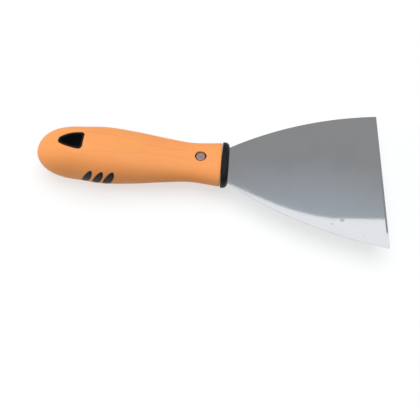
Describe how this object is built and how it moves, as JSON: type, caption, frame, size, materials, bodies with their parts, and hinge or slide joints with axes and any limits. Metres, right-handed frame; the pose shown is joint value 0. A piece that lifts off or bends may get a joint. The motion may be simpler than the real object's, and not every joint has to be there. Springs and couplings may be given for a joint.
{
  "type": "flexible putty knife",
  "caption": "Putty knife with a wide flexible steel blade flaring from a black collar, a contoured orange grip with a hang hole, dark side inlays and a riveted tang.",
  "frame": {"origin": "middle of the blade's working edge, halfway through its thickness", "axes": "+X along the tool, out of the handle through the working edge; +Y across the blade, so the side with the grip inlays is -Y; +Z out of the blade's upper face"},
  "size_m": [0.2233, 0.1, 0.0304],
  "materials": {
    "blade_steel": "ground and polished",
    "rivet_steel": "satin",
    "core_plastic": "moulded",
    "black_plastic": "moulded, satin",
    "orange_grip": "soft-touch matte"
  },
  "bodies": {
    "handle": {"handle_core": "core_plastic", "collar": "black_plastic", "grip_shell": "orange_grip", "hang_hole_liner": "black_plastic", "grip_inlay_1": "black_plastic", "grip_inlay_2": "black_plastic", "grip_inlay_3": "black_plastic", "rivet_pin": "rivet_steel", "rivet_sleeve": "rivet_steel"},
    "blade": {"blade": "blade_steel"}
  },
  "joints": [
    {"name": "blade_flex", "type": "hinge", "parent": "handle", "child": "blade", "pos_m": [-0.088, 0, 0], "axis": [0, -1, 0], "range_deg": [-15, 15], "stiffness_Nm_per_rad": 6, "deforming": ["blade"]}
  ]
}
